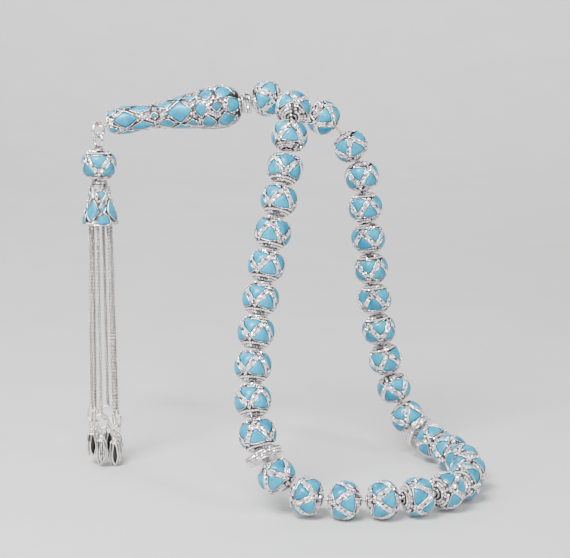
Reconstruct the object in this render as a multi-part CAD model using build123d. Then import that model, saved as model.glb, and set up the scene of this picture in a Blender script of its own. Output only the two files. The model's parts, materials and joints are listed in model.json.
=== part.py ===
"""Misbaha prayer beads: thirty-three silver and enamel beads, a neck bead, a head piece and a chain tassel.

Millimetres. The string hangs in the pose it takes when it is draped over a support: the head piece (imame)
rests on top, one strand falls in front, one behind, and the middle of the loop lies on the table below.
Origin: the underside of the head piece, where it rests on the support. +X right, +Y back, +Z up.
"""
import os
from math import cos, pi, radians, sin, tan

from build123d import *

os.makedirs("parts", exist_ok=True)

# --- driving dimensions ---------------------------------------------------------------------------
STRING_D = 0.8
BORE_R = 0.85                 # hole through a bead or disc
PAIR_BORE_R = 1.15            # hole where both ends of the string pass
BEAD_D = 9.0                  # across the belly
BEAD_L = 8.0                  # along the string
BEAD_RIM_R = 1.0              # flat round the hole; neighbouring beads touch at its edge
PAIR_RIM_R = 1.35
BEAD_SHOULDER = 22.0          # degrees, slope of the cone between that flat and the ball
BEAD_PLAY = 0.15              # clearance between neighbours
INLAY_DEPTH = 0.6             # enamel thickness
DISC_L = 2.0                  # separator disc, along the string
RAIL_W = 0.35                 # plain rails on both edges of a pave band
RAIL_H = 0.15                 # how far they stand above the stones' floor

IMAME_TILT = 7.85             # degrees, rising to the right
IMAME_L = 34.1
IMAME_LEFT = (-27.8, 0.0, 1.6)
IMAME_BORE_R = 1.3
# outline of the head piece: distance from its left end, radius
IMAME_OUTLINE = [(0.0, 2.3), (0.4, 2.8), (1.2, 3.2), (2.8, 3.4), (4.6, 3.45), (6.6, 3.34), (9.0, 3.18),
                 (11.7, 3.12), (13.8, 3.36), (15.8, 3.7), (18.6, 4.08), (21.0, 4.45), (23.5, 4.85), (26.0, 5.22),
                 (28.0, 5.4), (29.8, 5.36), (31.2, 4.95), (32.4, 4.25), (33.4, 3.35), (34.1, 2.3)]

WASHER_D = 5.6
WASHER_L = 2.1
WASHER_CENTRE = (7.3, 0.0, 6.6)
NECK_CENTRE = (12.5, 0.0, 7.6)
NECK_AXIS = (1.0, 0.0, 0.19)

EYE_CENTRE = (-29.37, 0.0, 0.7)
EYE_R = 1.25                  # centre line of the level eye at the head piece's small end
EYE_WIRE_R = 0.3
EYE_ARM_R = 0.5
PLUG_L = 4.0
WIRE_R = 0.375                # wire of the two tassel rings
LINK_R = 1.825                # centre line of the free ring
HEAD_RING_R = 1.525           # centre line of the ring on the tassel's pin
RING_PLAY = 0.1
LINK_TURN = 50.0              # degrees, turns the free ring about the vertical

PIN_R = 0.6
PIN_FOOT_R = 1.1
PIN_FOOT_H = 0.55
PIN_FOOT_LIFT = 0.02          # play under the foot, so the bead can turn
PIN_BELOW_HANGER = 1.0
BEAD_TO_BELL = 0.1            # play, so the bead can turn
BELL_H = 11.0
# outside of the bell: depth below its top, radius
BELL_OUTLINE = [(0.0, 1.95), (1.2, 2.35), (2.5, 2.75), (3.8, 2.9), (5.0, 3.1), (6.2, 3.5), (7.5, 3.95), (8.8, 4.3),
                (10.0, 4.55), (BELL_H, 4.6)]
BELL_WALL = 0.5
BELL_ROOF = 1.0

CHAINS = 6
CHAIN_R = 0.5
CHAIN_RING_R = 2.7            # the chains hang on a circle of this radius
CHARM_RING_R = 3.4            # and spread to this radius, where the drops push each other apart
CHAIN_FIRST_ANGLE = 22.0      # degrees from +X to the first chain
CHAIN_DROP = 2.7              # their hanger sits this far above the mouth of the bell
CHAIN_LENGTHS = [52.0, 50.8, 51.0, 50.0, 51.3, 52.3]
HANGER_WIRE_R = 0.25
SPOKE_R = 0.2
HUB_WALL = 0.4
HUB_H = 0.6
LINK_WIRE_R = 0.2             # top link of a chain and loop of a drop
TOP_LINK_R = 0.6
TOP_LINK_SAG = 0.1            # the link's centre sits this far below the hanger's wire
END_WIRE_R = 0.3              # ring at the lower end of a chain
END_RING_R = 1.85
END_RING_TURN = 20.0          # degrees, turns the end rings so that neighbours pass each other
CHARM_LOOP_R = 1.2
CHARM_PLAY = 0.05
# outside of a drop: depth below its top, radius
CHARM_OUTLINE = [(0.0, 0.45), (0.5, 0.75), (1.6, 0.95), (3.2, 1.35), (4.7, 1.6), (5.9, 1.52), (6.9, 1.25),
                 (7.5, 0.9)]
CHARM_H = CHARM_OUTLINE[-1][0]
CHARM_SLOTS = 4

CRIMP_R = 1.0
CRIMP_L = 5.0

# --- the string's route ---------------------------------------------------------------------------
# Out of the head piece, forward over the edge, down the front, along the table, back and up behind.
ROUTE = [
    (3.2, -0.45, 5.95), (10.5, -0.45, 7.1), (17.4, -0.5, 8.75), (19.8, -3.0, 7.1), (18.6, -9.2, 3.9),
    (18.0, -12.6, -3.0), (16.5, -15.5, -11.0), (15.0, -18.5, -19.0), (13.2, -21.2, -28.0),
    (11.2, -24.6, -38.0), (9.8, -28.0, -48.0), (9.0, -32.0, -58.0), (9.6, -36.5, -67.0),
    (12.5, -40.5, -75.5), (18.0, -43.0, -81.8), (25.0, -44.0, -83.2), (35.0, -45.0, -83.0),
    (45.0, -44.5, -82.7), (54.0, -40.5, -82.5), (60.2, -33.0, -82.6), (62.5, -24.0, -82.6),
    (62.0, -14.0, -82.6), (59.0, -5.0, -82.5), (54.6, 2.6, -81.6), (51.0, 6.4, -79.4), (48.2, 8.3, -75.2),
    (46.0, 8.9, -69.5),
    (43.2, 9.0, -60.0), (41.2, 9.3, -50.0), (40.0, 10.0, -39.0), (38.8, 10.4, -28.0), (37.9, 11.2, -18.0),
    (36.8, 11.5, -9.5), (32.5, 12.0, -2.0), (25.5, 10.5, 3.4), (19.5, 5.0, 7.8), (17.2, 0.5, 8.7),
    (10.5, 0.45, 7.1), (3.2, 0.45, 5.95),
]
FIRST_BEAD_AT = 17.5          # along the string, where the first bead starts
FITTING_STEPS = 6             # each step moves a bead until it just clears the one before it
# What is threaded on the string after that, in order: ("bead" or "disc", extra play before it)
THREADED = (
    [("bead", 0.0)] * 11 + [("disc", 0.0), ("bead", 0.1), ("bead", 0.1), ("bead", 0.5), ("bead", 0.6)]
    + [("bead", 0.0)] * 7 + [("disc", 0.0), ("bead", 0.25)] + [("bead", 0.0)] * 9 + [("bead", 2.15)]
)


def export(name, shape):
    """Write one node: every solid of the shape in one STEP file."""
    export_step(Compound(children=list(shape.solids())), f"parts/{name}.step")


def placed(shape, origin, axis, turn=0.0):
    """The shape, made along +Z at the origin, moved so that its axis runs along the given direction."""
    return Plane(origin=origin, z_dir=axis).location * Rot(0, 0, turn) * shape


def ring(centre, normal, radius, wire_r):
    return placed(Torus(radius, wire_r), centre, normal)


def turned(outline, inner_r):
    """A body of revolution about Z from (z, radius) points, with a through bore."""
    points = [(r, z) for z, r in outline]
    points += [(inner_r, outline[-1][0]), (inner_r, outline[0][0])]
    return revolve(Plane.XZ * make_face(Polyline(*points, close=True)), Axis.Z)


def panel_cutter(corners, height):
    """A prism on the outward side of +X: corners are (sideways, along Z) on the panel's own plane."""
    flat = make_face(Polyline(*corners, close=True))
    return extrude(Plane(origin=(0, 0, 0), x_dir=(0, 1, 0), z_dir=(1, 0, 0)) * flat, height)


def inlaid(body, core, cutters):
    """Cut the cutters' shapes into the body down to the core; return the body and the inlays."""
    skin = body - core
    inlays = [skin & cutter for cutter in cutters]
    for inlay in inlays:
        body = body - inlay
    return body, inlays


# --- beads ----------------------------------------------------------------------------------------
def bead(bore_r, rim_r):
    """Silver ball with flat poles and eight triangular enamel inlays, point up and point down in turn."""
    h = BEAD_L / 2
    reach = BEAD_D / 2
    drop = reach * tan(radians(BEAD_SHOULDER))
    lower_half = [(bore_r, -h), (rim_r, -h), (rim_r + reach, drop - h)]
    envelope = lower_half + [(r, -z) for r, z in reversed(lower_half)]
    body = Sphere(BEAD_D / 2) & revolve(Plane.XZ * make_face(Polyline(*envelope, close=True)), Axis.Z)
    core = Sphere(BEAD_D / 2 - INLAY_DEPTH)
    base, tip = -1.75, 2.5
    half_base = 2.1
    up = panel_cutter([(-half_base, base), (half_base, base), (0, tip)], BEAD_D)
    down = panel_cutter([(-half_base, -base), (half_base, -base), (0, -tip)], BEAD_D)
    cutters = []
    for i in range(4):
        cutters.append(Rot(0, 0, 90 * i) * up)
        cutters.append(Rot(0, 0, 90 * i + 45) * down)
    body, inlays = inlaid(body, core, cutters)
    return Compound(children=[body] + inlays)


def disc(diameter, length, bore_r):
    """Flat disc with two rails and a sunk floor between them for the stones."""
    r, h = diameter / 2, length / 2
    points = [(bore_r, -h), (r, -h), (r, RAIL_W - h), (r - RAIL_H, RAIL_W - h), (r - RAIL_H, h - RAIL_W),
              (r, h - RAIL_W), (r, h), (bore_r, h)]
    return revolve(Plane.XZ * make_face(Polyline(*points, close=True)), Axis.Z)


# --- head piece -----------------------------------------------------------------------------------
def imame_radius(z):
    """Outside radius at a distance from the left end."""
    for (z0, r0), (z1, r1) in zip(IMAME_OUTLINE, IMAME_OUTLINE[1:]):
        if z <= z1:
            return r0 + (r1 - r0) * (z - z0) / (z1 - z0)


def kite(start, end, widest, half_width):
    """Four-cornered panel along the head piece, widest at the given distance."""
    return [(0, start), (half_width, widest), (0, end), (-half_width, widest)]


def imame():
    """Head piece with rows of kite-shaped enamel panels, at the front, top, back and bottom and between."""
    body = turned(IMAME_OUTLINE, IMAME_BORE_R)
    core = turned([(z, r - INLAY_DEPTH) for z, r in IMAME_OUTLINE], IMAME_BORE_R)
    rows = {
        0: [(2.0, 7.7, 4.8, 1.9), (11.0, 13.2, 12.1, 0.7), (15.6, 21.6, 18.8, 2.2), (22.7, 25.3, 24.0, 1.9),
            (26.8, 29.0, 27.9, 1.2), (30.6, 33.6, 31.6, 1.6)],
        45: [(0.5, 2.9, 1.4, 1.1), (5.7, 11.9, 8.6, 1.35), (12.7, 18.0, 15.6, 1.4), (19.6, 23.2, 22.0, 1.2),
             (24.2, 28.0, 25.8, 1.7), (28.4, 32.6, 30.2, 1.5)],
    }
    cutters = []
    for offset, kites in rows.items():
        for k in kites:
            cutter = panel_cutter(kite(*k), 2 * imame_radius(k[2]))
            cutters += [Rot(0, 0, offset + 90 * i) * cutter for i in range(4)]
    return inlaid(body, core, cutters)


def imame_end_eye(axis):
    """Plug in the left end of the bore with a level eye for the tassel's ring."""
    left = Vector(*IMAME_LEFT)
    plug = placed(Pos(0, 0, PLUG_L / 2) * Cylinder(IMAME_BORE_R, PLUG_L), left, axis)
    eye = ring(EYE_CENTRE, (0, 0, 1), EYE_R, EYE_WIRE_R)
    root = Vector(EYE_CENTRE[0] + EYE_R, 0, EYE_CENTRE[2])
    reach = left + axis * EYE_ARM_R - root
    arm = placed(Pos(0, 0, reach.length / 2) * Cylinder(EYE_ARM_R, reach.length), root, reach)
    return plug + eye + arm


# --- tassel ---------------------------------------------------------------------------------------
# The free ring hangs in the eye, turned about the vertical; the ring of the pin hangs in it crosswise.
across = Vector(-cos(radians(LINK_TURN)), -sin(radians(LINK_TURN)), 0)
link_normal = Vector(sin(radians(LINK_TURN)), -cos(radians(LINK_TURN)), 0)
link_hang = Vector(*EYE_CENTRE) + across * EYE_R
link_centre = link_hang - Vector(0, 0, LINK_R - WIRE_R - EYE_WIRE_R - RING_PLAY)
head_hang = link_centre - Vector(0, 0, LINK_R)
head_ring_centre = head_hang - Vector(0, 0, HEAD_RING_R - 2 * WIRE_R - RING_PLAY)
tassel_x, tassel_y = head_hang.X, head_hang.Y
tassel_bead_top = head_ring_centre.Z - HEAD_RING_R - WIRE_R - PIN_FOOT_H / 2 + PIN_FOOT_LIFT
bell_top = tassel_bead_top - BEAD_L - BEAD_TO_BELL
bell_mouth = bell_top - BELL_H
hanger_z = bell_mouth + CHAIN_DROP


def tassel_pin():
    """Ring, foot and long pin that carries the tassel's bead and bell, riveted below the hanger."""
    foot_z = tassel_bead_top + PIN_FOOT_LIFT + PIN_FOOT_H / 2
    foot = Pos(tassel_x, tassel_y, foot_z) * Cylinder(PIN_FOOT_R, PIN_FOOT_H)
    length = foot_z - hanger_z + PIN_BELOW_HANGER
    shaft = Pos(tassel_x, tassel_y, foot_z - length / 2) * Cylinder(PIN_R, length)
    return ring(head_ring_centre, across, HEAD_RING_R, WIRE_R) + foot + shaft


def bell():
    """Bell-shaped cap, open below, with four large and four small enamel panels and silver granules."""
    outline = [(-depth, r) for depth, r in reversed(BELL_OUTLINE)]
    outer = turned(outline, PIN_R)
    inside = [(r - BELL_WALL, -depth) for depth, r in BELL_OUTLINE if depth > BELL_ROOF]
    inside = [(0, -BELL_ROOF), (inside[0][0], -BELL_ROOF)] + inside + [(0, -BELL_H)]
    hollow = revolve(Plane.XZ * make_face(Polyline(*inside, close=True)), Axis.Z)
    body = outer - hollow
    core = turned([(z, r - BELL_WALL / 2) for z, r in outline], PIN_R)
    large = panel_cutter([(0, -4.3), (1.7, -7.4), (0, -9.6), (-1.7, -7.4)], BEAD_D)
    small = panel_cutter([(0, -2.2), (0.8, -3.3), (0, -4.6), (-0.8, -3.3)], BEAD_D)
    low = panel_cutter([(-1.6, -10.5), (1.6, -10.5), (1.0, -8.3), (-1.0, -8.3)], BEAD_D)
    cutters = []
    for i in range(4):
        cutters += [Rot(0, 0, 90 * i) * large, Rot(0, 0, 90 * i + 45) * small, Rot(0, 0, 90 * i + 45) * low]
    return inlaid(body, core, cutters)


def chain_hanger():
    """Ring inside the bell on which the chains hang, with three spokes to the pin."""
    hub = Cylinder(PIN_R + HUB_WALL, HUB_H) - Cylinder(PIN_R, HUB_H)
    shape = Torus(CHAIN_RING_R, HANGER_WIRE_R) + hub
    spoke_from = PIN_R + HUB_WALL / 2
    spoke_l = CHAIN_RING_R - spoke_from
    for i in range(3):
        angle = CHAIN_FIRST_ANGLE + 180 / CHAINS + 120 * i
        spoke = Pos(spoke_from + spoke_l / 2, 0, 0) * Rot(0, 90, 0) * Cylinder(SPOKE_R, spoke_l)
        shape += Rot(0, 0, angle) * spoke
    return Pos(tassel_x, tassel_y, hanger_z) * shape


def chain_angle(i):
    return CHAIN_FIRST_ANGLE + 360 / CHAINS * i


def level(angle):
    """Level unit vector at an angle from +X, in degrees."""
    return Vector(cos(radians(angle)), sin(radians(angle)), 0)


def chain_ends(i):
    """Where a chain hangs on the hanger, and the two ends of its run of links."""
    hang = Vector(tassel_x, tassel_y, hanger_z) + level(chain_angle(i)) * CHAIN_RING_R
    start = hang - Vector(0, 0, TOP_LINK_SAG + TOP_LINK_R)
    end = start + level(chain_angle(i)) * (CHARM_RING_R - CHAIN_RING_R) - Vector(0, 0, CHAIN_LENGTHS[i])
    return hang, start, end


def charm_pivot(i):
    """The lowest point of the chain's end ring, on its wire."""
    return chain_ends(i)[2] - Vector(0, 0, 2 * END_RING_R)


def chain(i):
    """One hanging chain: its top link, the chain as a plain tube, and the ring at its lower end."""
    hang, start, end = chain_ends(i)
    link = ring(hang - Vector(0, 0, TOP_LINK_SAG), level(chain_angle(i) + 90), TOP_LINK_R, LINK_WIRE_R)
    run = end - start
    tube = placed(Pos(0, 0, run.length / 2) * Cylinder(CHAIN_R, run.length), start, run)
    ring_axis = level(chain_angle(i) + END_RING_TURN)
    end_ring = ring(end - Vector(0, 0, END_RING_R), ring_axis, END_RING_R, END_WIRE_R)
    return link + tube + end_ring


def charm(i):
    """Tulip drop: a loop through the chain's end ring, and a bud with long slots between its petals."""
    pivot = charm_pivot(i)
    centre = pivot - Vector(0, 0, CHARM_LOOP_R - LINK_WIRE_R - END_WIRE_R - CHARM_PLAY)
    loop = ring(centre, level(chain_angle(i) + END_RING_TURN + 90), CHARM_LOOP_R, LINK_WIRE_R)
    outside = [(r, -depth) for depth, r in CHARM_OUTLINE]
    bud = revolve(Plane.XZ * make_face(Polyline(*outside, (0, -CHARM_H), (0, 0), close=True)), Axis.Z)
    widest = max(r for depth, r in CHARM_OUTLINE)
    for k in range(CHARM_SLOTS):
        slot = Pos(widest, 0, -0.6 * CHARM_H) * Box(1.4, 0.5, 0.5 * CHARM_H)
        bud = bud - Rot(0, 0, 360 / CHARM_SLOTS * (k + 0.5)) * slot
    return loop + Pos(pivot.X, pivot.Y, centre.Z - CHARM_LOOP_R + LINK_WIRE_R) * bud


# --- string ---------------------------------------------------------------------------------------
def corner_radii(points):
    """Each corner's arc: 0.45 of the shorter run beside it, divided by the tangent of half the turn."""
    radii = []
    for before, here, after in zip(points, points[1:], points[2:]):
        run_in = Vector(*here) - Vector(*before)
        run_out = Vector(*after) - Vector(*here)
        half_turn = radians(run_in.get_angle(run_out) / 2)
        radii.append(0.45 * min(run_in.length, run_out.length) / tan(half_turn))
    return radii


class Threaded:
    """A bead or disc on the string: its centre, axis and the middles of its two end faces."""

    def __init__(self, kind, from_s):
        length = BEAD_L if kind == "bead" else DISC_L
        self.kind = kind
        self.from_s = from_s
        self.to_s = from_s + length
        a, middle, b = [path.position_at(from_s + length * part, position_mode=PositionMode.LENGTH)
                        for part in (0, 0.5, 1)]
        self.axis = (b - a).normalized()
        self.centre = (a + b) * 0.25 + middle * 0.5
        self.near_face = self.centre - self.axis * (length / 2)
        self.far_face = self.centre + self.axis * (length / 2)


def clearance(one, other):
    """Smallest distance between two neighbours, at the inside of the bend between them."""
    between = other.near_face - one.far_face
    turn = radians(one.axis.get_angle(other.axis))
    if one.kind == other.kind == "bead":
        return between.dot((one.axis + other.axis).normalized()) - 2 * BEAD_RIM_R * sin(turn / 2)
    flat = one if one.kind == "disc" else other
    return between.dot(flat.axis) - BEAD_RIM_R * sin(turn)


radii = corner_radii(ROUTE)
path = FilletPolyline(*ROUTE, radius=radii)
string = sweep(Plane(path @ 0, z_dir=path % 0) * Circle(STRING_D / 2), path=path)
print("string radii", [round(r, 1) for r in radii])
print("string length", round(path.length, 1), "volume", round(string.volume, 2),
      "section x length", round(pi * STRING_D ** 2 / 4 * path.length, 2))

imame_axis = Vector(cos(radians(IMAME_TILT)), 0, sin(radians(IMAME_TILT)))
imame_body, imame_inlays = imame()
crimp_end = (Vector(*ROUTE[0]) + Vector(*ROUTE[-1])) * 0.5
crimp = placed(Pos(0, 0, -CRIMP_L / 2) * Cylinder(CRIMP_R, CRIMP_L), crimp_end, imame_axis)

export("string", string)
export("string_crimp", crimp)
export("imame_body", placed(imame_body, IMAME_LEFT, imame_axis))
export("imame_enamel", placed(Compound(children=imame_inlays), IMAME_LEFT, imame_axis))
export("imame_end_eye", imame_end_eye(imame_axis))
export("imame_washer", placed(disc(WASHER_D, WASHER_L, PAIR_BORE_R), WASHER_CENTRE, imame_axis))

export("neck_bead", placed(bead(PAIR_BORE_R, PAIR_RIM_R), NECK_CENTRE, NECK_AXIS))
one_bead = bead(BORE_R, BEAD_RIM_R)
one_disc = disc(BEAD_D, DISC_L, BORE_R)
counts = {"bead": 0, "disc": 0}
before = None
for kind, play in THREADED:
    here = Threaded(kind, before.to_s if before else FIRST_BEAD_AT)
    for _ in range(FITTING_STEPS if before else 0):
        here = Threaded(kind, here.from_s + BEAD_PLAY + play - clearance(before, here))
    before = here
    counts[kind] += 1
    name = f"bead_{counts[kind]:02d}" if kind == "bead" else f"separator_{counts[kind]}"
    shape = one_bead if kind == "bead" else one_disc
    export(name, placed(shape, here.centre, here.axis))
    centre_m = [round(v / 1000, 6) for v in here.centre]
    print(f"{name:12s} pos_m {centre_m} axis {[round(v, 5) for v in here.axis]}")
print("string left after the last bead", round(path.length - before.to_s, 1))

export("tassel_link", ring(link_centre, link_normal, LINK_R, WIRE_R))
export("tassel_pin", tassel_pin())
export("tassel_bead", Pos(tassel_x, tassel_y, tassel_bead_top - BEAD_L / 2) * one_bead)
bell_body, bell_inlays = bell()
export("bell_cap", Pos(tassel_x, tassel_y, bell_top) * bell_body)
export("bell_enamel", Pos(tassel_x, tassel_y, bell_top) * Compound(children=bell_inlays))
export("chain_hanger", chain_hanger())
print("link swing", [round(v, 3) for v in link_hang], "axis", [round(v, 4) for v in link_normal])
print("head swing", [round(v, 3) for v in head_hang], "axis", [round(v, 4) for v in across])
print("tassel axis", round(tassel_x, 3), round(tassel_y, 3), "bead top", round(tassel_bead_top, 2),
      "bell", round(bell_top, 2), round(bell_mouth, 2), "hanger", round(hanger_z, 2))
for i in range(CHAINS):
    export(f"chain_{i + 1}", chain(i))
    export(f"charm_{i + 1}", charm(i))
    outward = level(chain_angle(i))
    turned_outward = level(chain_angle(i) + END_RING_TURN)
    print(f"chain_{i + 1} hang {[round(v, 3) for v in chain_ends(i)[0]]} out {[round(v, 4) for v in outward]} "
          f"charm pivot {[round(v, 3) for v in charm_pivot(i)]} out {[round(v, 4) for v in turned_outward]}")
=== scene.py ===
"""The looks of the misbaha: silver beads with turquoise panels and rows of small stones, a head piece,
a bell with six foxtail chains and tulip drops, and the silver string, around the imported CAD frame."""
import json
from math import cos, degrees, pi, radians, sin, tan

import bpy
import numpy as np
from mathutils import Matrix, Vector


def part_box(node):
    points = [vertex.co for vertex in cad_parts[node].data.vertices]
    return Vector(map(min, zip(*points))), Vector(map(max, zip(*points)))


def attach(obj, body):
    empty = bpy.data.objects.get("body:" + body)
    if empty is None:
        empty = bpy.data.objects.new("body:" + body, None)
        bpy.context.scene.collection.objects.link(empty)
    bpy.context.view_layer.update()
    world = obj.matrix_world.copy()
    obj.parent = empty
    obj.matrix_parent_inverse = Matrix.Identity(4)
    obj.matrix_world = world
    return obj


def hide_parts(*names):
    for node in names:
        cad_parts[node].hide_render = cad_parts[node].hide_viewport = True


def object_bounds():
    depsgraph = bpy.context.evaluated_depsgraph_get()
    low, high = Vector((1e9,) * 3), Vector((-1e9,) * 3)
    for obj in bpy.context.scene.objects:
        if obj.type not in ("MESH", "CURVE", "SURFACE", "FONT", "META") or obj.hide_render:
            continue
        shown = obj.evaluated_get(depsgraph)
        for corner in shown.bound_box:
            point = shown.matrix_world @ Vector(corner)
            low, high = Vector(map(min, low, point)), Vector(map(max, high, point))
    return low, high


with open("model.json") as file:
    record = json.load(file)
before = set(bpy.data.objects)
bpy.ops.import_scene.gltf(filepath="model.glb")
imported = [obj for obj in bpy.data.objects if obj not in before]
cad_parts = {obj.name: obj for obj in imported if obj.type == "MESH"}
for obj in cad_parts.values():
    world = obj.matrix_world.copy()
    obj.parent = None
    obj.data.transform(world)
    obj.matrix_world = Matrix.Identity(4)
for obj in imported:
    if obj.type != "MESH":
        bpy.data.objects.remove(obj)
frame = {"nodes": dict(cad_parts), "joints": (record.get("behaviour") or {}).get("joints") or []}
cad_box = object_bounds()
MM = 0.001
rng = np.random.default_rng(7)
joints = {j["name"]: j for j in frame["joints"]}

# --- sizes, in mm ---------------------------------------------------------------------------------
BEAD_R = 4.5
BEAD_L = 8.0
BORE_R = 0.85
PAIR_BORE_R = 1.15
# A bead's pole: slope of the cone round it, radius of the flat round the hole. Where the string bends
# sharply the cones are steeper, so that neighbours clear each other.
STRAIGHT_POLE = (tan(radians(11)), 1.2)
BENT_POLE = (tan(radians(22)), 1.0)
PAIR_POLE = (tan(radians(20)), 1.35)
SHARP_TURN = 12.0
TO_CAMERA = Vector((0, -1, 0.17)).normalized()

# Head piece: its left end, tilt, and outline as (distance from the left end, radius)
IMAME_LEFT = Vector((-27.8, 0.0, 1.6))
IMAME_TILT = radians(7.85)
IMAME_AXIS = Vector((cos(IMAME_TILT), 0, sin(IMAME_TILT)))
IMAME_OUTLINE = [(0.0, 2.3), (0.4, 2.8), (1.2, 3.2), (2.8, 3.4), (4.6, 3.45), (6.6, 3.34), (9.0, 3.18),
                 (11.7, 3.12), (13.8, 3.36), (15.8, 3.7), (18.6, 4.08), (21.0, 4.45), (23.5, 4.85), (26.0, 5.22),
                 (28.0, 5.4), (29.8, 5.36), (31.2, 4.95), (32.4, 4.25), (33.4, 3.35), (34.1, 2.3)]
IMAME_FRONT = (0, -1, 0.08)
WASHER_D, WASHER_L = 5.6, 2.1
DISC_D, DISC_L = 9.0, 2.0

BELL_H = 11.0
BELL_OUTLINE = [(0.0, 1.95), (1.2, 2.35), (2.5, 2.75), (3.8, 2.9), (5.0, 3.1), (6.2, 3.5), (7.5, 3.95), (8.8, 4.3),
                (10.0, 4.55), (BELL_H, 4.6)]
BELL_WALL = 0.5

# The chains hang in a circle, each with a top link, a ring at its lower end, and a drop on a loop
CHAIN_LENGTHS = [52.0, 50.8, 51.0, 50.0, 51.3, 52.3]
CHAIN_FIRST_ANGLE = 22.0
CHAIN_SPREAD = 0.7               # how much further out a chain's lower end is than its top
TOP_LINK_R, TOP_LINK_SAG, LINK_WIRE_R = 0.6, 0.1, 0.2
END_RING_R, END_WIRE_R, END_RING_TURN = 1.85, 0.3, 20.0
CHARM_LOOP_R, CHARM_PLAY = 1.2, 0.05
CHARM_H = 7.5
FOXTAIL_PITCH = 0.87
FOXTAIL_CORE_R = 0.28
STRING_STRANDS, STRAND_R, STRAND_LAY_R, STRAND_PITCH = 5, 0.19, 0.2, 3.0

# The string's route, the same points as in the CAD
ROUTE = [
    (3.2, -0.45, 5.95), (10.5, -0.45, 7.1), (17.4, -0.5, 8.75), (19.8, -3.0, 7.1), (18.6, -9.2, 3.9),
    (18.0, -12.6, -3.0), (16.5, -15.5, -11.0), (15.0, -18.5, -19.0), (13.2, -21.2, -28.0),
    (11.2, -24.6, -38.0), (9.8, -28.0, -48.0), (9.0, -32.0, -58.0), (9.6, -36.5, -67.0),
    (12.5, -40.5, -75.5), (18.0, -43.0, -81.8), (25.0, -44.0, -83.2), (35.0, -45.0, -83.0),
    (45.0, -44.5, -82.7), (54.0, -40.5, -82.5), (60.2, -33.0, -82.6), (62.5, -24.0, -82.6),
    (62.0, -14.0, -82.6), (59.0, -5.0, -82.5), (54.6, 2.6, -81.6), (51.0, 6.4, -79.4), (48.2, 8.3, -75.2),
    (46.0, 8.9, -69.5), (43.2, 9.0, -60.0), (41.2, 9.3, -50.0), (40.0, 10.0, -39.0), (38.8, 10.4, -28.0),
    (37.9, 11.2, -18.0), (36.8, 11.5, -9.5), (32.5, 12.0, -2.0), (25.5, 10.5, 3.4), (19.5, 5.0, 7.8),
    (17.2, 0.5, 8.7), (10.5, 0.45, 7.1), (3.2, 0.45, 5.95),
]


# --- materials ------------------------------------------------------------------------------------
def new_material(name):
    material = bpy.data.materials.new(name)
    material.use_nodes = True
    nodes = material.node_tree.nodes
    return material, nodes, material.node_tree.links, nodes["Principled BSDF"]


def noise(nodes, links, scale, detail=3.0):
    coords = nodes.new("ShaderNodeTexCoord")
    texture = nodes.new("ShaderNodeTexNoise")
    texture.inputs["Scale"].default_value = scale
    texture.inputs["Detail"].default_value = detail
    links.new(coords.outputs["Object"], texture.inputs["Vector"])
    return texture


def ramp(nodes, links, source, stops):
    node = nodes.new("ShaderNodeValToRGB")
    elements = node.color_ramp.elements
    for k, (place, colour) in enumerate(stops):
        element = elements[k] if k < 2 else elements.new(place)
        element.position = place
        element.color = (*colour, 1)
    links.new(source, node.inputs["Fac"])
    return node.outputs["Color"]


def add_bump(nodes, links, shader, height, strength, distance):
    bump = nodes.new("ShaderNodeBump")
    bump.inputs["Strength"].default_value = strength
    bump.inputs["Distance"].default_value = distance
    links.new(height, bump.inputs["Height"])
    links.new(bump.outputs["Normal"], shader.inputs["Normal"])


def silver_material(name, light, dark, rough, recess):
    """Polished silver with painted shade: its colour is darkened in its recesses by ambient occlusion, partly tarnish
    and partly the shade that falls there, with faint wear in gloss and surface.
    """
    material, nodes, links, shader = new_material(name)
    shader.inputs["Metallic"].default_value = 1.0
    # painted shade: ambient occlusion darkens the base colour in recesses and between parts, where shade falls, on
    # top of the silver's own tarnish
    occlusion = nodes.new("ShaderNodeAmbientOcclusion")
    occlusion.samples = 6
    occlusion.inputs["Distance"].default_value = recess
    recess_shade_and_tarnish = ramp(nodes, links, occlusion.outputs["AO"], [(0.25, dark), (0.8, light)])
    wear = noise(nodes, links, 420, 4)
    patch = ramp(nodes, links, wear.outputs["Fac"], [(0.35, (0.86, 0.85, 0.84)), (0.65, (1.0, 1.0, 1.0))])
    mix = nodes.new("ShaderNodeMix")
    mix.data_type = "RGBA"
    mix.blend_type = "MULTIPLY"
    mix.inputs["Factor"].default_value = 1.0
    links.new(recess_shade_and_tarnish, mix.inputs["A"])
    links.new(patch, mix.inputs["B"])
    links.new(mix.outputs["Result"], shader.inputs["Base Color"])
    gloss = ramp(nodes, links, wear.outputs["Fac"], [(0.3, (rough * 0.7,) * 3), (0.7, (rough * 1.5,) * 3)])
    links.new(gloss, shader.inputs["Roughness"])
    add_bump(nodes, links, shader, noise(nodes, links, 1800, 2).outputs["Fac"], 0.12, 0.00005)
    return material


def enamel_material():
    """Turquoise enamel: glossy, a little uneven, with soft clouds of lighter and deeper colour."""
    material, nodes, links, shader = new_material("turquoise_enamel")
    clouds = noise(nodes, links, 260, 5)
    colour = ramp(nodes, links, clouds.outputs["Fac"],
                  [(0.3, (0.0, 0.12, 0.22)), (0.7, (0.0, 0.34, 0.5)), (0.5, (0.0, 0.22, 0.36))])
    links.new(colour, shader.inputs["Base Color"])
    shader.inputs["Roughness"].default_value = 0.3
    shader.inputs["Specular IOR Level"].default_value = 0.28
    shader.inputs["Coat Weight"].default_value = 0.18
    shader.inputs["Coat Roughness"].default_value = 0.06
    shader.inputs["Subsurface Weight"].default_value = 0.12
    shader.inputs["Subsurface Scale"].default_value = 0.0006
    add_bump(nodes, links, shader, noise(nodes, links, 700, 3).outputs["Fac"], 0.1, 0.0001)
    return material


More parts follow.
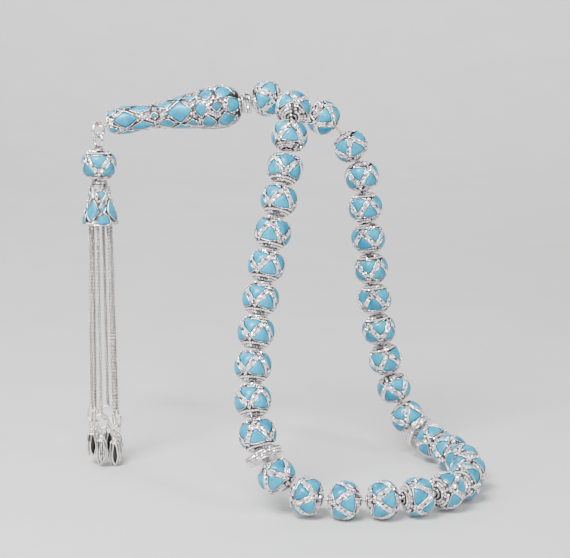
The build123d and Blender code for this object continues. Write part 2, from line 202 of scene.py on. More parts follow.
def stone_material(name, light, dark, metallic):
    """Cut stones in a bright setting: glossy facets, with a tint that changes over the rows."""
    material, nodes, links, shader = new_material(name)
    tint = noise(nodes, links, 900, 1)
    links.new(ramp(nodes, links, tint.outputs["Fac"], [(0.35, dark), (0.6, light)]), shader.inputs["Base Color"])
    shader.inputs["Metallic"].default_value = metallic
    shader.inputs["Roughness"].default_value = 0.07
    shader.inputs["IOR"].default_value = 2.1
    return material


def string_material():
    """Silvery thread with fine fibres."""
    material, nodes, links, shader = new_material("silver_thread")
    fibres = noise(nodes, links, 2600, 2)
    colour = ramp(nodes, links, fibres.outputs["Fac"], [(0.3, (0.5, 0.47, 0.42)), (0.7, (0.9, 0.88, 0.83))])
    links.new(colour, shader.inputs["Base Color"])
    shader.inputs["Metallic"].default_value = 0.85
    shader.inputs["Roughness"].default_value = 0.34
    add_bump(nodes, links, shader, fibres.outputs["Fac"], 0.5, 0.0001)
    return material


def floor_material():
    """Pale matt paper, very slightly uneven."""
    material, nodes, links, shader = new_material("pale_floor")
    colour = ramp(nodes, links, noise(nodes, links, 30, 4).outputs["Fac"],
                  [(0.3, (0.52, 0.52, 0.52)), (0.7, (0.55, 0.55, 0.55))])
    links.new(colour, shader.inputs["Base Color"])
    shader.inputs["Roughness"].default_value = 0.6
    return material


# all three silvers below carry painted shade in their recesses from the ambient occlusion in silver_material
SILVER = silver_material("bright_silver", (0.93, 0.91, 0.90), (0.08, 0.07, 0.068), 0.15, 0.0005)
# near-black silver for the floor under the stones, the disc walls, the chain cores and the drops' hearts: partly the
# setting's oxide, partly painted shade in the gaps between stones, links and leaves
OXIDE_AND_SHADE_SILVER = silver_material("oxide_and_painted_shade_silver", (0.06, 0.055, 0.055), (0.012, 0.011, 0.011), 0.45, 0.0006)
CHAIN_SILVER = silver_material("chain_silver", (0.85, 0.83, 0.81), (0.04, 0.036, 0.034), 0.14, 0.0008)
ENAMEL = enamel_material()
CLEAR = stone_material("clear_stones", (0.98, 0.96, 0.97), (0.82, 0.78, 0.8), 0.5)
ROSE = stone_material("rose_grey_stones", (0.72, 0.6, 0.63), (0.5, 0.42, 0.45), 0.6)
# painted reflection: these near-black stones stand for facets that mirror dark surroundings, which the pale studio
# lacks
DARK_REFLECTION_STONES = stone_material("dark_reflection_stones", (0.22, 0.19, 0.2), (0.08, 0.07, 0.075), 0.7)
STRING = string_material()
# A mesh's materials, in the order of the indices below; the stones are of three kinds, in these shares, the darkest
# kind painting dark reflections in the facets
MATERIALS = [SILVER, OXIDE_AND_SHADE_SILVER, ENAMEL, CLEAR, ROSE, DARK_REFLECTION_STONES]
BRIGHT, DARK, BLUE = range(3)
STONE_MATS, STONE_SHARES = [3, 4, 5], [0.7, 0.18, 0.12]
CHAIN_MATERIALS = [CHAIN_SILVER, OXIDE_AND_SHADE_SILVER]


# --- mesh building --------------------------------------------------------------------------------
class Build:
    """Collects vertices in mm and faces with a material each, and makes one mesh of them."""

    def __init__(self):
        self.verts, self.faces, self.mats, self.smooth, self.count = [], [], [], [], 0

    def add(self, verts, faces, mat, smooth=True):
        verts = np.asarray(verts, float).reshape(-1, 3)
        self.verts.append(verts)
        for face in faces:
            self.faces.append([int(v) + self.count for v in face])
        self.mats += [mat] * len(faces)
        self.smooth += [smooth] * len(faces)
        self.count += len(verts)

    def mesh(self, name, materials=None):
        mesh = bpy.data.meshes.new(name)
        mesh.from_pydata((np.vstack(self.verts) * MM).tolist(), [], self.faces)
        for material in materials or MATERIALS:
            mesh.materials.append(material)
        mesh.polygons.foreach_set("material_index", self.mats)
        mesh.polygons.foreach_set("use_smooth", self.smooth)
        mesh.update()
        return mesh


def grid_faces(rows, columns, closed):
    """Quads between consecutive rows of points; closed joins the last column to the first."""
    faces = []
    for r in range(rows - 1):
        for c in range(columns if closed else columns - 1):
            d = (c + 1) % columns
            faces.append((r * columns + c, r * columns + d, (r + 1) * columns + d, (r + 1) * columns + c))
    return faces


def tube(build, points, radius, mat, sides=6, closed=False):
    """Round wire along the points, with its frame carried along so that it doesn't twist."""
    points = np.asarray(points, float)
    n = len(points)
    if closed:
        tangents = np.roll(points, -1, 0) - np.roll(points, 1, 0)
    else:
        tangents = np.gradient(points, axis=0)
    tangents /= np.linalg.norm(tangents, axis=1)[:, None]
    side = np.cross(tangents[0], [0.31, 0.52, 0.79])
    radii = np.broadcast_to(radius, n)
    turn = np.linspace(0, 2 * pi, sides, endpoint=False)
    rows = []
    for p, t, r in zip(points, tangents, radii):
        side = side - t * side.dot(t)
        side /= np.linalg.norm(side)
        up = np.cross(t, side)
        rows.append(p + r * (np.cos(turn)[:, None] * side + np.sin(turn)[:, None] * up))
    if closed:
        # the last row is joined to the first by the nearest turn of the section
        shift = int(np.argmin([np.abs(np.roll(rows[0], -k, 0) - rows[-1]).sum() for k in range(sides)]))
        rows.append(np.roll(rows[0], -shift, 0))
    faces = grid_faces(len(rows), sides, True)
    verts = np.vstack(rows)
    if not closed:
        faces += [list(range(sides))[::-1], list(range(len(verts) - sides, len(verts)))]
    build.add(verts, faces, mat)


def frames_for(normals):
    """For each normal, a 3x3 frame whose third column is the normal."""
    normals = np.asarray(normals, float)
    normals = normals / np.linalg.norm(normals, axis=1)[:, None]
    helper = np.where(np.abs(normals[:, 2:]) > 0.9, [[1.0, 0, 0]], [[0, 0, 1.0]])
    x = np.cross(helper, normals)
    x /= np.linalg.norm(x, axis=1)[:, None]
    return np.stack([x, np.cross(normals, x), normals], 2)


def scatter(build, template, faces, centres, normals, sizes, mats, smooth):
    """A copy of the template at every centre, with its Z along the normal."""
    count = len(centres)
    sizes, mats = np.broadcast_to(sizes, count), np.broadcast_to(mats, count)
    for centre, f, size, mat in zip(np.asarray(centres, float), frames_for(normals), sizes, mats):
        spin = rng.uniform(0, pi)
        turn = np.array([[cos(spin), -sin(spin), 0], [sin(spin), cos(spin), 0], [0, 0, 1]])
        build.add(centre + (template * size) @ (f @ turn).T, faces, int(mat), smooth)


def stone_template():
    """Brilliant cut, seen from above: flat table, eight crown facets and a short girdle."""
    around = np.linspace(0, 2 * pi, 8, endpoint=False)
    ring = lambda r, z: np.stack([r * np.cos(around), r * np.sin(around), np.full(8, z)], 1)
    verts = np.vstack([ring(0.52, 0.34), ring(1.0, 0.0), ring(0.9, -0.5)])
    return verts, [tuple(range(8))] + [tuple(reversed(f)) for f in grid_faces(3, 8, True)]


def ball_template(around=8, levels=5):
    """Small round granule."""
    rows = []
    for k in range(1, levels):
        a = pi * k / levels
        rows += [(sin(a) * cos(b), sin(a) * sin(b), cos(a)) for b in np.linspace(0, 2 * pi, around, endpoint=False)]
    faces = [tuple(reversed(f)) for f in grid_faces(levels - 1, around, True)]
    top, bottom = len(rows), len(rows) + 1
    rows += [(0, 0, 1), (0, 0, -1)]
    last = (levels - 2) * around
    for k in range(around):
        m = (k + 1) % around
        faces += [(top, k, m), (bottom, last + m, last + k)]
    return np.array(rows), faces


STONE_SHAPE = stone_template()
BALL_SHAPE = ball_template()


STONE_TILT = 0.17
STONE_SINK = 0.12                # a stone's girdle is this far below the metal's outer surface


def stones(build, centres, normals, sizes):
    """Stones that sit a little unevenly, most of them clear and a few darker, the darkest with painted dark
    reflections.
    """
    tipped = np.asarray(normals, float) + rng.normal(0, STONE_TILT, np.shape(normals))
    kinds = rng.choice(STONE_MATS, len(centres), p=STONE_SHARES)
    scatter(build, *STONE_SHAPE, centres, tipped, sizes, kinds, False)


def granules(build, centres, sizes, mat=BRIGHT):
    """Small silver balls."""
    centres = np.asarray(centres, float).reshape(-1, 3)
    scatter(build, *BALL_SHAPE, centres, np.ones((len(centres), 3)), sizes, mat, True)


def lathe(build, outline, mat, segments=64):
    """Surface of revolution about Z from (radius, z) points."""
    around = np.linspace(0, 2 * pi, segments, endpoint=False)
    rows = [np.stack([r * np.cos(around), r * np.sin(around), np.full(segments, z)], 1) for r, z in outline]
    build.add(np.vstack(rows), grid_faces(len(rows), segments, True), mat)


def hoop(radius, z=0.0, n=64):
    """Points on a circle about Z."""
    around = np.linspace(0, 2 * pi, n, endpoint=False)
    return np.stack([radius * np.cos(around), radius * np.sin(around), np.full(n, z)], 1)


def rounded(corners, radius, bulge=0.0, edge_points=6, corner_points=5):
    """Closed outline through the corners, each rounded off, with edges that bulge outwards a little."""
    corners = np.asarray(corners, float)
    n = len(corners)
    cuts = []
    for i in range(n):
        to_before, to_after = corners[i - 1] - corners[i], corners[(i + 1) % n] - corners[i]
        a, b = np.linalg.norm(to_before), np.linalg.norm(to_after)
        half = np.arccos(np.clip(to_before @ to_after / a / b, -1, 1)) / 2
        cut = min(radius / tan(half), 0.42 * a, 0.42 * b)
        cuts.append((corners[i] + to_before / a * cut, corners[i] + to_after / b * cut))
    points = []
    for i in range(n):
        p, q = cuts[i]
        for u in np.linspace(0, 1, corner_points, endpoint=False):
            points.append((1 - u) ** 2 * p + 2 * u * (1 - u) * corners[i] + u * u * q)
        end = cuts[(i + 1) % n][0]
        along = end - q
        outward = np.array([along[1], -along[0]]) / np.linalg.norm(along)
        for u in np.linspace(0, 1, edge_points, endpoint=False):
            points.append(q + along * u + outward * bulge * 4 * u * (1 - u))
    return np.array(points)


def grown(outline, distance):
    """The closed outline moved outwards."""
    along = np.roll(outline, -1, 0) - np.roll(outline, 1, 0)
    outward = np.stack([along[:, 1], -along[:, 0]], 1)
    outward /= np.linalg.norm(outward, axis=1)[:, None]
    return outline + outward * distance


def counterclockwise(outline):
    x, y = outline[:, 0], outline[:, 1]
    return outline if (x * np.roll(y, -1) - y * np.roll(x, -1)).sum() > 0 else outline[::-1]


# A panel's dome as (share of its outline, height over the surface), from its sunk edge to near its middle
PANEL_RINGS = [(1.0, -0.4), (1.0, -0.16), (0.96, -0.08), (0.86, -0.03), (0.66, 0.02), (0.36, 0.05)]
PANEL_TOP = 0.06
RAIL_GAP = 0.21
RAIL_WIRE = 0.095
RAIL_SINK = 0.06


def panel(build, place, outline, rail_wire=RAIL_WIRE, rail_gap=RAIL_GAP):
    """Domed enamel panel and the silver rail round it; place(x, y, lift) puts flat points on the surface."""
    centre = outline.mean(0)
    rows = []
    for size, lift in PANEL_RINGS:
        flat = centre + (outline - centre) * size
        rows.append(place(flat[:, 0], flat[:, 1], lift))
    verts = np.vstack(rows + [place(centre[:1], centre[1:], PANEL_TOP)])
    n = len(outline)
    faces = grid_faces(len(rows), n, True)
    first = (len(rows) - 1) * n
    faces += [(first + k, first + (k + 1) % n, len(verts) - 1) for k in range(n)]
    build.add(verts, faces, BLUE)
    rail = grown(outline, rail_gap)
    tube(build, place(rail[:, 0], rail[:, 1], -RAIL_SINK), rail_wire, BRIGHT, closed=True)


# --- beads ----------------------------------------------------------------------------------------
# A bead's panels are triangles, four with their base towards each pole, drawn flat as (along the equator, along
# the axis) from the middle of the bead's side
PANEL_TIP = 0.95
PANEL_BASE = -3.05
PANEL_HALF_BASE = 2.9
PANEL_ROUNDING = 0.35
PANEL_BULGE = 0.1
BEAD_FLOOR = 0.22                # depth of the dark floor under the stones
BAND_STONES = 9
BAND_ROWS = (0.34, 0.66)         # where the two rows of a band lie between its panels
BAND_STONE_R = 0.29
CAP_RINGS = (3.75, 3.2, 2.55, 1.9)
CAP_STONE_R, CAP_PITCH, CAP_CLEARANCE = 0.33, 0.68, 0.24
# Granules where the bands cross, as (turn round the bead, change of latitude, radius)
KNOT_LATITUDE = radians(29.5)
KNOT = ((0, 0, 0.24), (0.1, 0, 0.15), (-0.1, 0, 0.15), (0, 0.1, 0.15), (0, -0.1, 0.15))


def bead_reach(cosine, sine, pole):
    """Distance from the bead's centre to its surface, ball or shoulder cone, in a direction."""
    slope, rim_r = pole
    return np.minimum(BEAD_R, (BEAD_L / 2 + rim_r * slope) / (np.abs(cosine) + slope * sine + 1e-9))


def bead_place(angle, pole, flip=1):
    """Puts flat points, centred on the equator at the given angle, on a bead; flip -1 turns them half round."""
    def place(x, y, lift):
        x, y = np.asarray(x, float) * flip, np.asarray(y, float) * flip
        d = np.stack([BEAD_R * cos(angle) - x * sin(angle), BEAD_R * sin(angle) + x * cos(angle), y], 1)
        d /= np.linalg.norm(d, axis=1)[:, None]
        reach = bead_reach(d[:, 2], np.sqrt(1 - d[:, 2] ** 2), pole) + lift
        return d * reach[:, None]
    return place


def pole_ring(radius, pole, lift=0.0, n=48):
    """Points round the axis on the bead's surface near the +Z pole, and the surface's normals there."""
    cone_slope, rim_r = pole
    on_ball = (BEAD_R ** 2 - radius ** 2) ** 0.5
    on_cone = BEAD_L / 2 - (radius - rim_r) * cone_slope
    z = min(on_ball, on_cone)
    slope = cone_slope if on_cone < on_ball else radius / on_ball
    around = np.linspace(0, 2 * pi, n, endpoint=False)
    normals = np.stack([np.cos(around) * slope, np.sin(around) * slope, np.ones(n)], 1)
    normals /= np.linalg.norm(normals, axis=1)[:, None]
    points = np.stack([radius * np.cos(around), radius * np.sin(around), np.full(n, z)], 1)
    return points + normals * lift, normals


def bead_mesh(name, bore_r, pole):
    """Bead about Z: eight panels, two rows of stones between each two, and a cap of stones round each end."""
    build = Build()
    rim_r = pole[1]
    top = BEAD_L / 2
    # dark floor under the stones, with the hole through it; its near-black colour is partly the setting's oxide and
    # partly painted shade between the stones
    profile = []
    for a in np.linspace(0, pi, 41):
        reach = bead_reach(np.array(cos(a)), np.array(sin(a)), pole) - BEAD_FLOOR
        r, z = float(reach * sin(a)), float(reach * cos(a))
        if r > rim_r + 0.05:
            profile.append((r, z))
    profile = [(bore_r, 0.0), (bore_r, top - 0.1), (bore_r + 0.05, top), (rim_r, top)] + profile
    profile += [(rim_r, -top), (bore_r + 0.05, -top), (bore_r, 0.1 - top), (bore_r, 0.0)]
    lathe(build, [(r, z) for r, z in reversed(profile)], DARK)
    corners = [(-PANEL_HALF_BASE, PANEL_BASE), (PANEL_HALF_BASE, PANEL_BASE), (0, PANEL_TIP)]
    triangle = counterclockwise(rounded(corners, PANEL_ROUNDING, PANEL_BULGE))

    def right(u):
        """Point on the triangle's right edge, from its tip down."""
        return np.array([PANEL_HALF_BASE * u, PANEL_TIP + (PANEL_BASE - PANEL_TIP) * u])

    def left(u):
        return right(u) * [-1, 1]

    for k in range(4):
        up = bead_place(k * pi / 2, pole)
        down = bead_place(k * pi / 2 + pi / 4, pole, -1)
        next_up = bead_place((k + 1) * pi / 2, pole)
        panel(build, up, triangle)
        panel(build, down, triangle)
        # a band runs along the edge of one panel and, the other way, along its neighbour's
        for one, other, edge in ((up, down, right), (next_up, down, left)):
            for share in BAND_ROWS:
                row = []
                for u in np.linspace(0.0, 1.0, BAND_STONES):
                    on_one, on_other = one(*edge(u)[:, None], 0.0)[0], other(*edge(1 - u)[:, None], 0.0)[0]
                    row.append(on_one * (1 - share) + on_other * share)
                row = np.array(row)
                row /= np.linalg.norm(row, axis=1)[:, None]
                reach = bead_reach(row[:, 2], np.sqrt(1 - row[:, 2] ** 2), pole) - STONE_SINK
                stones(build, row * reach[:, None], row, BAND_STONE_R)
    for side in (1, -1):
        flip = np.array([1, 1, side])
        # the cap: rows of stones round the hole, kept clear of the panels whose base is at this pole
        base_angle = pi / 4 if side > 0 else 0.0
        for radius in CAP_RINGS:
            points, normals = pole_ring(radius, pole, -STONE_SINK, int(2 * pi * radius / CAP_PITCH))
            around = np.arctan2(points[:, 1], points[:, 0]) - base_angle
            off = (around + pi / 4) % (pi / 2) - pi / 4
            steepness = points[:, 2] / radius
            keep = steepness > (RAIL_GAP + RAIL_WIRE + CAP_CLEARANCE - PANEL_BASE) / BEAD_R * np.cos(off)
            if keep.any():
                stones(build, points[keep] * flip, normals[keep] * flip, CAP_STONE_R)
        for radius, wire in ((rim_r + 0.12, 0.13), (bore_r + 0.08, 0.1)):
            points, _ = pole_ring(radius, pole, -0.07)
            tube(build, points * flip, wire, BRIGHT, closed=True)
        for k in range(4):
            a = k * pi / 2 + (0 if side > 0 else pi / 4)
            for step, tip, size in KNOT:
                lat = KNOT_LATITUDE + tip
                spot = np.array([cos(a + step) * cos(lat), sin(a + step) * cos(lat), side * sin(lat)])
                granules(build, spot * (BEAD_R - 0.08), size)
    return build.mesh(name)


def frame_matrix(origin_mm, axis, front, roll=0.0):
    """Z along the axis, X towards the front, then turned about Z by roll degrees."""
    z = Vector(axis).normalized()
    x = (Vector(front) - z * Vector(front).dot(z)).normalized()
    y = z.cross(x)
    matrix = Matrix((x, y, z)).transposed().to_4x4()
    matrix.translation = Vector(origin_mm) * MM
    return matrix @ Matrix.Rotation(radians(roll), 4, "Z")


def on_joint(name, roll=0.0):
    """Frame of a piece that turns at a joint: Z along the joint's axis, X to the camera, turned by roll."""
    joint = joints[name]
    return frame_matrix([v / MM for v in joint["pos_m"]], joint["axis"], TO_CAMERA, roll)


def put(name, mesh, matrix, body, slot, *nodes):
    """Makes a piece that rides on the body and stands for the nodes, if any."""
    piece = bpy.data.objects.new(name, mesh)
    bpy.context.scene.collection.objects.link(piece)
    piece.matrix_world = matrix
    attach(piece, body)
    if nodes:
        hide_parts(*nodes)
    return piece


# How far each bead is turned on the string, in degrees, as it happens to lie; the rest are in a plain sequence
BEAD_ROLLS = {
    "neck_bead": 10, "bead_01": 80, "bead_02": 41, "bead_03": 88, "bead_04": 32, "bead_05": 54, "bead_06": 31,
    "bead_07": 17, "bead_08": 20, "bead_09": 25, "bead_10": 12, "bead_11": 45, "bead_12": 60, "bead_13": 75,
    "bead_14": 48, "bead_15": 38, "bead_16": 80, "bead_31": 30, "bead_32": 10, "bead_33": 45, "tassel_bead": 50,
}
ALONG_STRING = ["neck_bead"] + [f"bead_{k:02d}" for k in range(1, 34)]
ALONG_STRING.insert(ALONG_STRING.index("bead_12"), "separator_1")
ALONG_STRING.insert(ALONG_STRING.index("bead_23"), "separator_2")


def turn_between(one, other):
    """Degrees between the string's directions at two pieces on it."""
    return degrees(Vector(joints[f"{one}_turn"]["axis"]).angle(Vector(joints[f"{other}_turn"]["axis"])))


def is_bent(name):
    """Whether a bead's string turns sharply at either end of it."""
    k = ALONG_STRING.index(name)
    return any(turn_between(a, b) > SHARP_TURN for a, b in zip(ALONG_STRING[k - 1:k + 1], ALONG_STRING[k:k + 2]))


straight_bead = bead_mesh("bead", BORE_R, STRAIGHT_POLE)
bent_bead = bead_mesh("bead_steep", BORE_R, BENT_POLE)
pair_bead = bead_mesh("bead_wide", PAIR_BORE_R, PAIR_POLE)
for number, name in enumerate(ALONG_STRING + ["tassel_bead"]):
    if not name.startswith("separator"):
        mesh = pair_bead if name == "neck_bead" else straight_bead
        if name.startswith("bead") and is_bent(name):
            mesh = bent_bead
        roll = BEAD_ROLLS.get(name, 37 * number % 90)
        put(f"{name}_look", mesh, on_joint(f"{name}_turn", roll), name, "silver", name)


# --- stone-set discs ------------------------------------------------------------------------------
def disc_mesh(name, diameter, length, bore_r, count):
    """Disc with two rows of stones round its rim between polished edges, and a ring of beading on each face."""
    build = Build()
    r, h = diameter / 2, length / 2
    edge = 0.3
    profile = [(bore_r, -h), (bore_r + 0.3, -h), (r * 0.45, -h + 0.12), (r * 0.8, -h + 0.12), (r - 0.25, -h),
               (r - 0.02, 0.08 - h), (r, 0.18 - h), (r - 0.02, edge - h)]
    wall = [(r - 0.2, edge - h), (r - 0.2, h - edge)]
    lathe(build, profile, BRIGHT, 72)
    lathe(build, [profile[-1]] + wall + [(profile[-1][0], h - edge)], DARK, 72)
    lathe(build, [(q, -z) for q, z in reversed(profile)] + [(bore_r, -h)], BRIGHT, 72)
    for side in (-1, 1):
        tube(build, hoop(bore_r + 0.35, side * (h - 0.1)), 0.12, BRIGHT, closed=True)
        tube(build, hoop(r - 0.1, side * (h - 0.17), 72), 0.16, BRIGHT, closed=True)
        granules(build, hoop(r * 0.62, side * (h - 0.1), 20), 0.16)
        around = (np.arange(count) + 0.25 * side) * 2 * pi / count
        out = np.stack([np.cos(around), np.sin(around), np.zeros(count)], 1)
        stones(build, out * (r - 0.14) + [0, 0, side * (h - edge) / 2], out, (h - edge) / 2 * 0.95)
    return build.mesh(name)


disc = disc_mesh("separator", DISC_D, DISC_L, BORE_R, 40)
for k in (1, 2):
    name = f"separator_{k}"
    put(f"{name}_look", disc, on_joint(f"{name}_turn", 9 * k), name, "silver", name)
put("imame_washer_look", disc_mesh("washer", WASHER_D, WASHER_L, PAIR_BORE_R, 24), on_joint("washer_turn"),
    "imame_washer", "silver", "imame_washer")


# --- lathe-turned bodies with panels --------------------------------------------------------------
TURNED_SINK = 0.15               # a stone's girdle is this far below the surface
FAR = 9.0                        # further from a panel than any stone needs to be


def turned_place(outline, angle):
    """Puts (arc along the girth, distance along the axis) on a turned body, round the given angle."""
    zs, rs = np.array(outline).T

    def place(x, y, lift):
        y = np.asarray(y, float)
        r = np.interp(y, zs, rs)
        slope = (np.interp(y + 0.15, zs, rs) - np.interp(y - 0.15, zs, rs)) / 0.3
        lean = np.sqrt(1 + slope ** 2)
        a = angle + np.asarray(x, float) / r
        out = r + lift / lean
        return np.stack([out * np.cos(a), out * np.sin(a), y - lift * slope / lean], 1)
    return place


def inside_distance(outline, x, y):
    """Signed distance from points to a closed outline, negative inside."""
    a, b = outline, np.roll(outline, -1, 0)
    p = np.stack([x, y], -1)[:, None]
    edge = b - a
    t = np.clip(((p - a) * edge).sum(-1) / (edge ** 2).sum(-1), 0, 1)
    gap = np.linalg.norm(p - a - edge * t[..., None], axis=-1).min(1)
    crossing = ((a[:, 1] > p[..., 1]) != (b[:, 1] > p[..., 1])) & (
        p[..., 0] < (b[:, 0] - a[:, 0]) * (p[..., 1] - a[:, 1]) / (b[:, 1] - a[:, 1] + 1e-12) + a[:, 0])
    return np.where(crossing.sum(1) % 2 == 1, -gap, gap)


def fill_with_stones(build, outline, panels, start, stop, pitch, size):
    """Stones in staggered rows wherever there's no panel; panels are (angle, flat outline)."""
    zs, rs = np.array(outline).T
    place = turned_place(outline, 0.0)
    for row, z in enumerate(np.arange(start, stop, pitch * 0.9)):
        r = float(np.interp(z, zs, rs))
        count = max(6, int(2 * pi * r / pitch))
        angles = (np.arange(count) + 0.5 * (row % 2)) * 2 * pi / count
        clear = np.full(count, FAR)
        for angle, flat in panels:
            turn = (angles - angle + pi) % (2 * pi) - pi
            near = np.abs(turn) < pi / 2
            if near.any() and flat[:, 1].min() - 1 < z < flat[:, 1].max() + 1:
                gap = inside_distance(flat, turn[near] * r, np.full(near.sum(), z))
                clear[near] = np.minimum(clear[near], gap)
        keep = clear > RAIL_GAP + RAIL_WIRE + size * 0.85
        if keep.any():
            centres = np.vstack([place([a * r], [z], -TURNED_SINK) for a in angles[keep]])
            above = np.vstack([place([a * r], [z], 1 - TURNED_SINK) for a in angles[keep]])
            stones(build, centres, above - centres, size)


def kite(start, end, widest, half_width, radius=0.3, bulge=0.0):
    """Four-cornered panel outline from start to end along the axis, widest at the given place."""
    corners = [(0, start), (half_width, widest), (0, end), (-half_width, widest)]
    return counterclockwise(rounded(corners, radius, bulge))


def wedge(start, end, start_half, end_half, radius=0.25, bulge=0.05):
    """Panel outline with a straight edge of its own width at each end."""
    corners = [(-start_half, start), (start_half, start), (end_half, end), (-end_half, end)]
    return counterclockwise(rounded(corners, radius, bulge))


def smooth_outline(outline, steps=4):
    """The outline with points added on a smooth curve through the given ones."""
    points = np.array(outline)
    result = []
    for i in range(len(points) - 1):
        before = points[max(i - 1, 0)]
        a, b = points[i], points[i + 1]
        after = points[min(i + 2, len(points) - 1)]
        for u in np.linspace(0, 1, steps, endpoint=False):
            result.append(0.5 * ((2 * a) + (b - before) * u + (2 * before - 5 * a + 4 * b - after) * u ** 2
                                 + (3 * a - before - 3 * b + after) * u ** 3))
    result.append(points[-1])
    return [tuple(p) for p in result]


def imame_mesh():
    """Head piece about Z, from its small end: panels in eight rows, stones between them, rims and studs."""
    build = Build()
    outline = smooth_outline(IMAME_OUTLINE)
    length = outline[-1][0]
    floor = [(max(r - 0.24, 1.6), z) for z, r in outline]
    lathe(build, [(1.35, 0.3)] + floor + [(1.35, length - 0.3), (1.35, 0.3)], DARK, 96)
    # panels that face the front, top, back and bottom, and the ones between
    facing = [
        kite(1.9, 7.8, 4.8, 2.2, bulge=0.1), kite(11.4, 13.0, 12.2, 0.62, 0.1),
        kite(15.6, 21.6, 18.6, 2.85, bulge=0.1), kite(22.6, 25.4, 24.0, 2.2, 0.2),
        kite(27.0, 29.2, 28.1, 1.15, 0.15), wedge(31.2, 33.5, 2.1, 0.9, 0.5, 0.15),
    ]
    between = [
        wedge(0.5, 2.4, 0.9, 0.25), kite(5.9, 11.6, 8.8, 1.25, bulge=0.08),
        kite(12.9, 17.0, 15.2, 1.25, bulge=0.08), kite(20.2, 22.9, 21.6, 0.9, 0.15),
        kite(24.0, 27.4, 25.7, 1.95, bulge=0.1), kite(28.1, 32.2, 30.0, 2.25, bulge=0.12),
    ]
    panels = [(k * pi / 2, flat) for k in range(4) for flat in facing]
    panels += [(k * pi / 2 + pi / 4, flat) for k in range(4) for flat in between]
    for angle, flat in panels:
        panel(build, turned_place(outline, angle), flat)
    fill_with_stones(build, outline, panels, 0.75, 33.4, 0.66, 0.29)
    rims = ((0.05, 2.2, 0.22), (0.4, 2.75, 0.14), (33.75, 2.9, 0.16), (34.0, 2.25, 0.2), (0.1, 1.6, 0.14),
            (34.0, 1.6, 0.14))
    for z, r, wire in rims:
        tube(build, hoop(r - 0.05, z, 72), wire, BRIGHT, closed=True)
    # four-petal studs between the panels of the facing rows
    for k in range(4):
        for z in (26.2, 30.15, 14.25, 9.6):
            place = turned_place(outline, k * pi / 2)
            reach = 0.34 if z > 20 else 0.26
            petals = ((reach, 0), (-reach, 0), (0, reach), (0, -reach), (0, 0))
            granules(build, [place([x], [z + y], 0.02)[0] for x, y in petals], [reach * 0.8] * 4 + [reach * 0.5])
    return build.mesh("imame")


put("imame_look", imame_mesh(), frame_matrix(IMAME_LEFT, IMAME_AXIS, IMAME_FRONT), "root", "silver",
    "imame_body", "imame_enamel")


# --- tassel: ring, bell ---------------------------------------------------------------------------
tassel_x, tassel_y = (v / MM for v in joints["head_swing"]["pos_m"][:2])
bell_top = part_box("bell_cap")[1][2] / MM
TASSEL_FRONT = (0.35, -1, 0.1)


def bell_mesh():
    """Bell, hung from z = 0: panels in three tiers, stones between them, rims and single granules."""
    build = Build()
    outline = smooth_outline([(-depth, r) for depth, r in reversed(BELL_OUTLINE)], 3)
    outer = [(r - 0.2, z) for z, r in outline]
    inner = [(r - BELL_WALL, z) for z, r in reversed(outline) if z < -1.0]
    lathe(build, outer + [(0.65, 0.0), (0.65, -1.0)] + inner + [outer[0]], DARK, 72)
    large = kite(-9.9, -4.6, -7.6, 1.75, bulge=0.1)
    small = kite(-4.6, -2.0, -3.2, 0.95, 0.15)
    low = wedge(-10.5, -8.5, 1.75, 1.1, 0.25, 0.08)
    side = kite(-7.9, -5.3, -6.6, 0.7, 0.15)
    panels = [(k * pi / 2 + pi / 4, large) for k in range(4)]
    panels += [(k * pi / 2, flat) for k in range(4) for flat in (small, low, side)]
    for angle, flat in panels:
        panel(build, turned_place(outline, angle), flat, 0.1, 0.15)
    fill_with_stones(build, outline, panels, -10.5, -0.7, 0.62, 0.27)
    for z, r, wire in ((-10.85, 4.6, 0.18), (-0.15, 2.0, 0.2), (-0.45, 2.15, 0.12), (-10.9, 4.2, 0.12)):
        tube(build, hoop(r - 0.06, z, 72), wire, BRIGHT, closed=True)
    for k in range(4):
        spots = [turned_place(outline, k * pi / 2)([x], [z], 0.08)[0]
                 for x, z in ((0, -5.0), (0.55, -8.1), (-0.55, -8.1), (0, -1.6))]
        granules(build, spots, [0.3, 0.28, 0.28, 0.24])
        spots = [turned_place(outline, k * pi / 2 + pi / 4)([x], [z], 0.08)[0]
                 for x, z in ((0, -4.1), (0.3, -3.6), (-0.3, -3.6))]
        granules(build, spots, [0.28, 0.2, 0.2])
    return build.mesh("bell")


put("bell_look", bell_mesh(), frame_matrix((tassel_x, tassel_y, bell_top), (0, 0, 1), TASSEL_FRONT), "tassel_head",
    "silver", "bell_cap", "bell_enamel")


# --- chains, end rings and drops ------------------------------------------------------------------
def level(angle):
    """Level unit vector at an angle in degrees from +X."""
    return Vector((cos(radians(angle)), sin(radians(angle)), 0))


def along_spline(name, points_mm):
    """Points read from the smooth NURBS line through a route, in metres."""
    curve = bpy.data.curves.new(name, "CURVE")
    curve.dimensions = "3D"
    spline = curve.splines.new("NURBS")
    spline.points.add(len(points_mm) - 1)
    for point, place in zip(spline.points, points_mm):
        point.co = (*(v * MM for v in place), 1.0)
    spline.order_u = 3
    spline.use_endpoint_u = True
    spline.resolution_u = 16
    holder = bpy.data.objects.new(name, curve)
    mesh = bpy.data.meshes.new_from_object(holder)
    points = np.array([v.co for v in mesh.vertices])
    bpy.data.objects.remove(holder)
    return points


def resampled(points, spacing):
    """Evenly spaced points on a line, the directions there, and the line's length."""
    steps = np.linalg.norm(np.diff(points, axis=0), axis=1)
    run = np.concatenate([[0], np.cumsum(steps)])
    at = np.linspace(0, run[-1], max(2, int(round(run[-1] / spacing)) + 1))
    even = np.stack([np.interp(at, run, points[:, k]) for k in range(3)], 1)
    directions = np.gradient(even, axis=0)
    return even, directions / np.linalg.norm(directions, axis=1)[:, None], run[-1]


